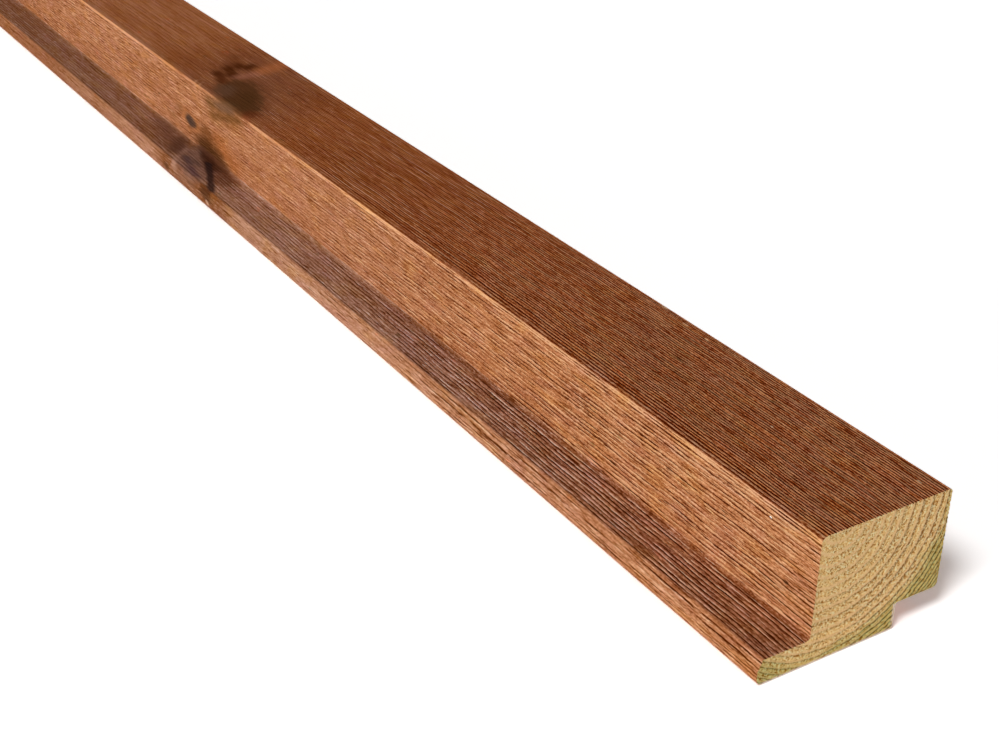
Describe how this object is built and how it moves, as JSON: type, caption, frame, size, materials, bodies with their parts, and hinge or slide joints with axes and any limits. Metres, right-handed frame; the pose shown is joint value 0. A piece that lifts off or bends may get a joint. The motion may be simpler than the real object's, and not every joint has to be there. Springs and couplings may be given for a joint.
{
  "type": "lapped wooden fence slat",
  "caption": "Straight rectangular pine slat with a thin lip along one lower edge and a matching rebate along the other, so that slats overlap into a closed fence or cladding.",
  "frame": {"origin": "on the back face, in the middle of the length and of the overall width", "axes": "+Y along the slat, away from the cut end in the picture; +X from the lip to the rebate; +Z from the back face to the visible face"},
  "size_m": [0.062, 1.8, 0.04],
  "materials": {
    "stained_pine": "brown pressure-treated pine, finely ribbed along the length on the visible faces, ends freshly cross-cut and bare"
  },
  "bodies": {
    "root": {"slat": "stained_pine"}
  },
  "joints": []
}
